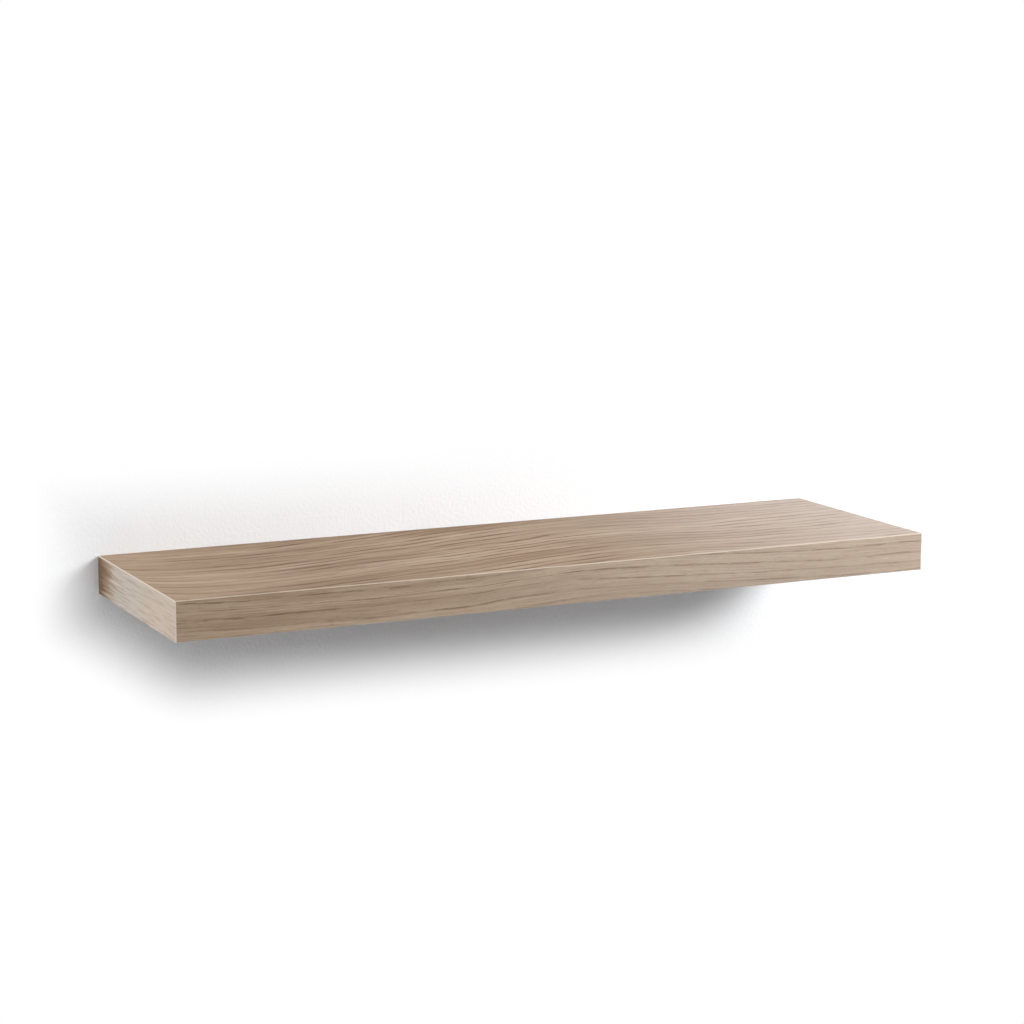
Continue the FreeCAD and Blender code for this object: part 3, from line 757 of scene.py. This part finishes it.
def oak(name, along, across, seed, cut, depth_of_tone=1.0, fades=()):
    """Oak decor with its grain along one axis, 0 for X to 2 for Z, and side by side over another.

    Under its lines, and a little over them too, painted light and painted sheen lie along the shelf: each is
    a span of X, from where there is none of it to where there is most, that most, and the colour it lightens
    to.
    """
    wood = Finish(name, specular=0.11)
    spot = wood.axes(wood.place)

    def feature(place, size, **how):
        return wood.noise(place, (*size, 1), seed=seed, **how)

    def pushed(place, size, by):
        return wood.math("MULTIPLY", wood.math("SUBTRACT", feature(place, size), 0.5), by)

    def rings(pitch, start, full):
        """Lines of latewood at that pitch: each darkens slowly and ends sharply."""
        count = wood.math("ADD", wood.math("DIVIDE", side, pitch), drift)
        ring = wood.math("FRACT", count)
        return wood.math("MULTIPLY", wood.ramp(ring, start, full), wood.ramp(ring, 1.0, 0.93))

    flat = wood.joined(spot[along], spot[across])
    share = wood.add("ShaderNodeMapRange", {0: spot[along], 1: -length_box, 2: length_box})
    flow = wood.math("MULTIPLY", wood.math("SUBTRACT", wood.curve(share, cut["flow"]), 0.5), cut["flow_by"])
    side = wood.math("ADD", spot[across], flow)
    for which in ("sway", "bend", "wobble"):
        side = wood.math("ADD", side, pushed(flat, cut[which], cut[f"{which}_by"]))
    grain = wood.joined(spot[along], side)
    drift = wood.math("MULTIPLY", feature(grain, cut["flame"], detail=1.0), cut["drift"])
    year = feature(grain, (cut["flame"][0] / 2, 2 * cut["pitch"]))
    drift = wood.math("ADD", drift, wood.math("MULTIPLY", year, UNEVEN_YEARS))

    band = feature(grain, cut["band"], detail=4.0, roughness=0.6)
    patch = wood.ramp(feature(grain, (cut["flame"][0] / 3, cut["flame"][1] / 2)), 0.38, 0.60, 0.50, 1.0)
    dash = wood.ramp(feature(grain, cut["dash"], detail=2.0), 0.38, 0.62, 0.30, 1.0)
    shown = wood.math("MULTIPLY", patch, dash)
    line = wood.math("MULTIPLY", rings(cut["pitch"], cut["line_from"], 0.88), shown)
    hair_patch = wood.ramp(feature(grain, (cut["bend"][0], cut["pitch"]), detail=2.0), 0.44, 0.60)
    hair = wood.math("MULTIPLY", rings(cut["hair"], 0.50, 0.85), wood.math("MULTIPLY", hair_patch, dash))
    pores = wood.ramp(feature(grain, cut["pore"], detail=2.0), 0.55, 0.70)
    pores = wood.math("MULTIPLY", pores, wood.ramp(line, 0.0, 0.6, 0.4, 1.0))
    fibre = feature(grain, OAK_FIBRE, detail=3.0, roughness=0.6)
    streak = feature(grain, cut["streak"], detail=3.0, roughness=0.6)

    tone = wood.math("SUBTRACT", band, cut["shade"])
    colour = wood.mix(wood.ramp(tone, 0.36, 0.52, 1 - cut["contrast"], 1.0), OAK_BROWN, OAK_MIDDLE)
    colour = wood.mix(wood.ramp(tone, 0.48, 0.64, 0.0, cut["contrast"]), colour, OAK_PALE)
    colour = wood.mix(wood.ramp(streak, 0.52, 0.34, 0.0, cut["streak_share"]), colour, OAK_PALE)
    colour = wood.mix(wood.ramp(streak, 0.46, 0.64, 0.0, cut["streak_share"]), colour, OAK_BROWN)
    for span, most, tint in fades:
        colour = wood.mix(wood.ramp(spot[0], *span, 0.0, most), colour, tint)
    colour = wood.mix(wood.ramp(fibre, 0.35, 0.68, 0.0, 0.36 * depth_of_tone), colour, OAK_BROWN)
    colour = wood.mix(wood.math("MULTIPLY", line, cut["line_share"] * depth_of_tone), colour, OAK_LINE)
    colour = wood.mix(wood.math("MULTIPLY", hair, 0.36 * depth_of_tone), colour, OAK_LINE)
    colour = wood.mix(wood.math("MULTIPLY", pores, 0.55 * depth_of_tone), colour, OAK_PORE)
    for span, most, tint in fades:
        colour = wood.mix(wood.ramp(spot[0], *span, 0.0, most * PAINTED_LIGHT_OVER_LINES), colour, tint)
    roughness = wood.math("ADD", wood.ramp(fibre, 0.3, 0.7, 0.72, 0.82), wood.math("MULTIPLY", pores, 0.15))
    relief = wood.math("SUBTRACT", wood.math("MULTIPLY", fibre, 0.3), pores)
    return wood.wear(colour, roughness, relief, depth=OAK_TEXTURE)


def edge_shown(wood, axis, low, high):
    """How far the surface has turned away from an axis of the piece: 0 flat across it, 1 well round."""
    facing = wood.axes(wood.coordinates.outputs["Normal"])[axis]
    return wood.ramp(wood.math("ABSOLUTE", facing), high, low)


def over_colour(wood, amount, colour):
    """Lays one more colour over what the finish has so far."""
    base = wood.shader.inputs["Base Color"]
    wood.give(base, wood.mix(amount, base.links[0].from_socket, colour))


calmer = {**FLAT_SAWN, "flow_by": 0.040, "bend_by": 0.005}
# The top and underside carry painted sheen towards the right end and painted light at the left end.
board_fades = [(PAINTED_SHEEN_SPAN_RIGHT, 0.46, OAK_PAINTED_SHEEN), (PAINTED_LIGHT_SPAN_LEFT, 0.20, OAK_PAINTED_LIGHT)]
for node, seed, cut in (("top_laminate", 3.7, FLAT_SAWN), ("bottom_laminate", 12.4, calmer)):
    laminate = oak(f"oak_decor_{node}", 0, 1, seed, cut, fades=board_fades)
    over_colour(laminate, edge_shown(laminate, 2, 0.3, 0.7), LAMINATE_CORE)
    dress(laminate, node)

# --- Edge bands -------------------------------------------------------------------------------
# Plastic edge band in the same decor, glued on and trimmed flush. Only its face is printed, so that the eased
# arrises and the trimmed edges show its cream body as a thin pale line round the front and both ends, and
# that line is lightened further as a painted highlight.
BAND_CREAM_AND_HIGHLIGHT = paint(222, 211, 198)
BAND_PAINTED_SHEEN = paint(188, 177, 166)
BAND_PAINTED_SHEEN_SPAN = (-0.34, 0.26)  # X, from where there is no painted sheen and light to where it is strongest, as on the laminates
END_PAINTED_SHEEN_SPAN = (-0.060, -0.020)  # Y, from where the painted sheen on the ends is strongest to where there is none
END_PAINTED_LIGHT_SPAN = (-0.100, -0.180)  # from where there is no painted warm light to where it is strongest
END_PAINTED_SHADE_SPAN = (-0.042, -0.006)  # from where there is no painted shade to where it is brown, by the wall
# painted shade, darkest right at the wall
END_PAINTED_DARK_SHADE_SPAN = (-0.024, -0.004)
CARRIED = 0.075  # how far the streaks of the grain carry those edges to and fro
END_STREAK = (1, 0.050, 0.0025)
END_FINE_STREAK = (1, 0.036, 0.0015)

# painted sheen and painted light on the front band, paler and greyer towards the right
band_fades = [(BAND_PAINTED_SHEEN_SPAN, 0.35, BAND_PAINTED_SHEEN)]
front_finish = oak("oak_decor_front_edge_band", 0, 2, 21.3, STRAIGHT, fades=band_fades)
# the cream band body on the arrises, lightened as a painted highlight
cream_and_highlight_edge = edge_shown(front_finish, 1, 0.86, 0.97)
over_colour(front_finish, front_finish.math("MULTIPLY", cream_and_highlight_edge, 0.50), BAND_CREAM_AND_HIGHLIGHT)
dress(front_finish, "front_edge_band")
for node, seed in (("left_edge_band", 30.9), ("right_edge_band", 44.2)):
    end_finish = oak(f"oak_decor_{node}", 1, 2, seed, STRAIGHT, depth_of_tone=0.85)
    streak = end_finish.noise(end_finish.place, END_STREAK, seed=seed, detail=2.0)
    carried = end_finish.math("MULTIPLY", end_finish.math("SUBTRACT", streak, 0.5), CARRIED)
    from_wall = end_finish.math("ADD", end_finish.axes(end_finish.place)[1], carried)
    # painted sheen, palest towards the front of each end
    over_colour(end_finish, end_finish.ramp(from_wall, *END_PAINTED_SHEEN_SPAN, 0.76, 0.0), OAK_END_PAINTED_SHEEN)
    fine_streak = end_finish.noise(end_finish.place, END_FINE_STREAK, seed=seed, detail=3.0)
    over_colour(end_finish, end_finish.ramp(fine_streak, 0.44, 0.66, 0.0, 0.44), OAK_BROWN)
    # painted warm light towards the front of each end
    over_colour(end_finish, end_finish.ramp(from_wall, *END_PAINTED_LIGHT_SPAN, 0.0, 0.26), OAK_PAINTED_LIGHT)
    # painted shade by the wall: brown, then darker still against it
    over_colour(end_finish, end_finish.ramp(from_wall, *END_PAINTED_SHADE_SPAN, 0.0, 0.9), OAK_BROWN)
    over_colour(end_finish, end_finish.ramp(from_wall, *END_PAINTED_DARK_SHADE_SPAN, 0.0, 0.8), OAK_LINE)
    # the cream band body on the arrises, lightened as a painted highlight
    over_colour(end_finish, edge_shown(end_finish, 0, 0.90, 0.98), BAND_CREAM_AND_HIGHLIGHT)
    dress(end_finish, node)

# --- Insert nuts ------------------------------------------------------------------------------
# Turned brass, knurled and grooved on the outside, and pressed into the underside of the board. Each takes
# one of the screws that lock the board to the rods.
NUT_COUNT = 2
NUT_ROUND = 64
NUT_GROOVE = 0.0004
NUT_GROOVE_PITCH = 0.0020
NUT_LIP = 0.0003
KNURL_DEPTH = 0.00025
NUT_BORE = 0.00255

nut_low, nut_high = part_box("insert_nuts")
nut_outer = (nut_high.y - nut_low.y) / 2
nut_length = nut_high.z - nut_low.z
upright_on_z = Matrix.Rotation(math.pi / 2, 4, "X")
profile = [(NUT_BORE + NUT_LIP, 0), (nut_outer - NUT_LIP, 0), (nut_outer, NUT_LIP)]
for n in range(1, round(nut_length / NUT_GROOVE_PITCH)):
    groove = n * NUT_GROOVE_PITCH
    for radius, along in (
        (nut_outer, groove - NUT_GROOVE), (nut_outer - NUT_GROOVE, groove), (nut_outer, groove + NUT_GROOVE),
    ):
        profile.append((radius, along))
profile += [
    (nut_outer, nut_length - NUT_LIP), (nut_outer - NUT_LIP, nut_length), (NUT_BORE + NUT_LIP, nut_length),
    (NUT_BORE, nut_length - NUT_LIP), (NUT_BORE, NUT_LIP),
]
nut = bmesh.new()
turned(nut, profile, NUT_ROUND)
for vertex in nut.verts:
    radius = math.hypot(vertex.co.x, vertex.co.z)
    step = round(math.atan2(vertex.co.z, vertex.co.x) / (2 * math.pi / NUT_ROUND))
    if radius > nut_outer - NUT_LIP / 2 and step % 2:
        vertex.co.x *= (radius - KNURL_DEPTH) / radius
        vertex.co.z *= (radius - KNURL_DEPTH) / radius
nut_y = (nut_low.y + nut_high.y) / 2
repeated(nut, [
    Matrix.Translation((x, nut_y, nut_low.z)) @ upright_on_z
    for x in row("insert_nuts", NUT_COUNT, 2 * nut_outer)
])

BRASS = paint(212, 176, 104)
BRASS_DULL = paint(176, 138, 78)
BRASS_TOOL_MARK = (0.0006, 0.0006, 0.00015)
BRASS_TARNISH = (0.003, 0.003, 0.003)
brass = Finish("turned_brass", metallic=1.0)
tool_mark = brass.noise(brass.place, BRASS_TOOL_MARK, detail=2.0)
tarnish = brass.noise(brass.place, BRASS_TARNISH, detail=3.0)
brass.wear(
    brass.mix(brass.ramp(tarnish, 0.4, 0.7), BRASS, BRASS_DULL),
    brass.ramp(tarnish, 0.3, 0.7, 0.24, 0.40),
    tool_mark,
    depth=0.00002,
)
finished("insert_nuts_knurled", nut, brass, "board", "insert_nuts")

# --- Lock screws ------------------------------------------------------------------------------
# M5 grub screws in black oxide, with a rolled thread, a flat point and a hexagon socket in the lower end. A
# key turns them up against the rods, so that the board can't slide off.
LOCK_PITCH = 0.0008
LOCK_THREAD_DEPTH = 0.0005
LOCK_END_CHAMFER = 0.0004
LOCK_SOCKET = 0.0025  # across the flats
LOCK_SOCKET_DEPTH = 0.0030
LOCK_SOCKET_CONE = 0.0006

OXIDE_BLACK = paint(44, 43, 44)
OXIDE_WORN = paint(78, 74, 72)
OXIDE_PATINA = (0.0012, 0.0012, 0.0012)
black_oxide = Finish("black_oxide_steel", metallic=1.0)
patina = black_oxide.noise(black_oxide.place, OXIDE_PATINA, detail=3.0)
black_oxide.wear(
    black_oxide.mix(black_oxide.ramp(patina, 0.52, 0.72), OXIDE_BLACK, OXIDE_WORN),
    black_oxide.ramp(patina, 0.3, 0.7, 0.42, 0.58),
    patina,
    depth=0.00002,
)

for body in ("lock_screw_left", "lock_screw_right"):
    low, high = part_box(body)
    length, crest = high.z - low.z, (high.x - low.x) / 2
    core = crest - LOCK_THREAD_DEPTH
    lock = bmesh.new()
    section = [(core, 0), (crest, 0.44), (crest, 0.56), (core, 1)]
    threaded(lock, section, LOCK_PITCH, LOCK_END_CHAMFER, length - LOCK_END_CHAMFER)
    for end, chamfered in ((0, LOCK_END_CHAMFER), (length, length - LOCK_END_CHAMFER)):
        closed(lock, grown(lock, rim(lock, chamfered), core - LOCK_END_CHAMFER / 2, end))
    corner = LOCK_SOCKET / math.sqrt(3)
    across_y = Matrix.Rotation(-math.pi / 2, 4, "X")
    key = bmesh.new()
    bmesh.ops.create_cone(
        key, cap_ends=True, segments=6, radius1=corner, radius2=corner, depth=2 * LOCK_SOCKET_DEPTH,
        matrix=across_y,
    )
    bmesh.ops.create_cone(
        key, cap_ends=True, segments=24, radius1=corner, radius2=LOCK_SOCKET / 8, depth=LOCK_SOCKET_CONE,
        matrix=Matrix.Translation((0, LOCK_SOCKET_DEPTH + LOCK_SOCKET_CONE / 2, 0)) @ across_y,
    )
    lock = combined(lock, key)
    middle = (low + high) / 2
    repeated(lock, [Matrix.Translation((middle.x, middle.y, low.z)) @ upright_on_z])
    finished(f"{body}_threaded", lock, black_oxide, body, body)

# --- Room -------------------------------------------------------------------------------------
# The setting: a white plastered wall that the bracket stands on, and a pale floor under the shelf. Both
# fade to plain white away from the shelf, and both are seen from their front only. On the wall the fade
# follows the outline that the shelf has there for someone who stands where the camera does.
WALL_BEHIND = 0.0001
WALL_WIDTH = 10.0
WALL_TOP = 4.0
FLOOR_DROP = 1.4
FLOOR_DEPTH = 6.0
HOLE_INSET = 0.001
FADE_START = 0.005  # how far outside that outline the fade begins
FADE_END = 0.090
FADE_CORNER = 0.030  # how much its corners are rounded
FADE_LEFT = 0.020  # how much sooner the fade starts past the left end
WALL_WHITE = paint(244, 246, 249)
FLOOR_WHITE = paint(205, 206, 207)
FLOOR_FADE = (0.2, 1.2)  # how far from the shelf's middle
PLASTER_LUMP = (0.0035, 0.0035, 0.0035)
PLASTER_DEPTH = 0.0006


def seen_white(finish, amount):
    """Fades a surface to plain white where it is seen, and lets it be looked through from behind."""
    tree = finish.material.node_tree
    path = finish.add("ShaderNodeLightPath", {}).node.outputs
    mirrored = finish.math("MAXIMUM", path["Is Glossy Ray"], path["Is Transmission Ray"])
    seen = finish.math("MAXIMUM", path["Is Camera Ray"], mirrored)
    white = finish.add("ShaderNodeEmission", {"Color": (1, 1, 1, 1), "Strength": 1.0})
    fade = finish.math("MULTIPLY", seen, amount)
    faded = finish.add("ShaderNodeMixShader", {0: fade, 1: finish.shader.outputs[0], 2: white})
    behind = finish.add("ShaderNodeNewGeometry", {}).node.outputs["Backfacing"]
    through = finish.math("MULTIPLY", behind, path["Is Camera Ray"])
    clear = finish.add("ShaderNodeBsdfTransparent", {})
    shown = finish.add("ShaderNodeMixShader", {0: through, 1: faded, 2: clear})
    tree.links.new(shown, tree.nodes["Material Output"].inputs["Surface"])


def distance_outside(finish, across, up, corners):
    """How far a place on the wall lies outside a convex outline, whose corners go round clockwise."""
    distance = -1.0
    for (x, z), (next_x, next_z) in zip(corners, corners[1:] + corners[:1]):
        along_edge = Vector((next_x - x, next_z - z)).normalized()
        out = (-along_edge.y, along_edge.x)
        over = finish.math("SUBTRACT", finish.math("MULTIPLY", across, out[0]), out[0] * x + out[1] * z)
        over = finish.math("MULTIPLY_ADD", up, out[1], over)
        distance = finish.math("SMOOTH_MAX", distance, over, FADE_CORNER)
    return distance


def cast_on_wall(corner):
    """Where a corner of the shelf stands against the wall, seen from the camera's place."""
    reach = CAMERA_PLACE.y / (CAMERA_PLACE.y - corner[1])
    spot = CAMERA_PLACE + (Vector(corner) - CAMERA_PLACE) * reach
    return spot.x, spot.z


def room_surface(name, shape, finish):
    surface = as_object(name, shape)
    surface.data.materials.append(finish.material)
    return surface


def upright_sheet(shape, left, right, bottom, top):
    """A flat sheet on the wall's plane that faces the room."""
    corners = [(left, bottom), (right, bottom), (right, top), (left, top)]
    return shape.faces.new([shape.verts.new((x, WALL_BEHIND, z)) for x, z in corners])


plaster = Finish("plaster", specular=0.2)
wall_spot = plaster.axes(plaster.place)
front = cad_box[0].y
left, right = FADE_LEFT - length_box, length_box
seen_outline = [cast_on_wall(corner) for corner in (
    (left, 0, thickness_box), (right, 0, thickness_box), (right, front, thickness_box),
    (right, front, -thickness_box), (left, front, -thickness_box), (left, 0, -thickness_box),
)]
away = distance_outside(plaster, wall_spot[0], wall_spot[2], seen_outline)
lumps = plaster.noise(plaster.place, PLASTER_LUMP, detail=3.0)
plaster.wear(WALL_WHITE, 0.9, lumps, depth=PLASTER_DEPTH)
seen_white(plaster, plaster.ramp(away, FADE_START, FADE_END))

hole_x, hole_z = length_box - HOLE_INSET, thickness_box - HOLE_INSET
wall = bmesh.new()
upright_sheet(wall, -WALL_WIDTH / 2, WALL_WIDTH / 2, -FLOOR_DROP, -hole_z)
upright_sheet(wall, -WALL_WIDTH / 2, WALL_WIDTH / 2, hole_z, WALL_TOP)
upright_sheet(wall, -WALL_WIDTH / 2, -hole_x, -hole_z, hole_z)
upright_sheet(wall, hole_x, WALL_WIDTH / 2, -hole_z, hole_z)
room_surface("wall", wall, plaster)

patch_shape = bmesh.new()
upright_sheet(patch_shape, -hole_x, hole_x, -hole_z, hole_z)
patch = room_surface("wall_behind_shelf", patch_shape, plaster)
patch.visible_diffuse = False
patch.visible_glossy = False
patch.visible_transmission = False
patch.visible_shadow = False

floor_finish = Finish("pale_floor", specular=0.2)
floor_spot = floor_finish.axes(floor_finish.place)
off_centre = floor_finish.math("SQRT", floor_finish.math(
    "ADD", floor_finish.math("POWER", floor_spot[0], 2.0), floor_finish.math("POWER", floor_spot[1], 2.0)
))
floor_finish.wear(FLOOR_WHITE, 0.8)
seen_white(floor_finish, floor_finish.ramp(off_centre, *FLOOR_FADE))
floor = bmesh.new()
floor_corners = [(-1, -FLOOR_DEPTH), (1, -FLOOR_DEPTH), (1, WALL_BEHIND), (-1, WALL_BEHIND)]
floor.faces.new([floor.verts.new((side * WALL_WIDTH / 2, y, -FLOOR_DROP)) for side, y in floor_corners])
room_surface("floor", floor, floor_finish)

# --- Light ------------------------------------------------------------------------------------
# Soft studio light: a key from the upper right that throws the shelf's shadow down and to the left, a softbox
# off the left end, lamps behind the wall for the open back, and an even white room.


def lamp(name, place, target, size, power):
    """A square softbox that faces its target."""
    data = bpy.data.lights.new(name, "AREA")
    data.size = size
    data.energy = power
    softbox = bpy.data.objects.new(name, data)
    softbox.location = place
    softbox.rotation_mode = "QUATERNION"
    softbox.rotation_quaternion = (Vector(target) - Vector(place)).to_track_quat("-Z", "Y")
    softbox.visible_camera = False
    bpy.context.scene.collection.objects.link(softbox)


lamp("key", (1.45, -1.57, 1.05), (0.1, -0.1, 0), size=0.95, power=62)
lamp("left", (-2.1, -0.20, 0.50), (-0.4, -0.12, 0), size=0.8, power=22)
lamp("behind_left", (-1.3, 1.7, 0.7), (-0.1, 0, 0), size=0.8, power=10)
lamp("behind_right", (1.2, 1.8, 0.2), (0.1, 0, 0), size=0.8, power=8)

ROOM_LEVEL = 0.20  # how bright the white room is as light, where it is seen at 1
world = bpy.data.worlds.new("studio")
world.use_nodes = True
sky = world.node_tree
background = sky.nodes["Background"]
background.inputs["Color"].default_value = (1, 1, 1, 1)
ray = sky.nodes.new("ShaderNodeLightPath").outputs
seen = ray["Is Camera Ray"]
for kind in ("Is Glossy Ray", "Is Transmission Ray"):
    either = sky.nodes.new("ShaderNodeMath")
    either.operation = "MAXIMUM"
    sky.links.new(seen, either.inputs[0])
    sky.links.new(ray[kind], either.inputs[1])
    seen = either.outputs[0]
strength = sky.nodes.new("ShaderNodeMapRange")
strength.inputs["To Min"].default_value = ROOM_LEVEL
strength.inputs["To Max"].default_value = 1.0
sky.links.new(seen, strength.inputs["Value"])
sky.links.new(strength.outputs[0], background.inputs["Strength"])
bpy.context.scene.world = world
bpy.context.scene.view_settings.view_transform = "Standard"
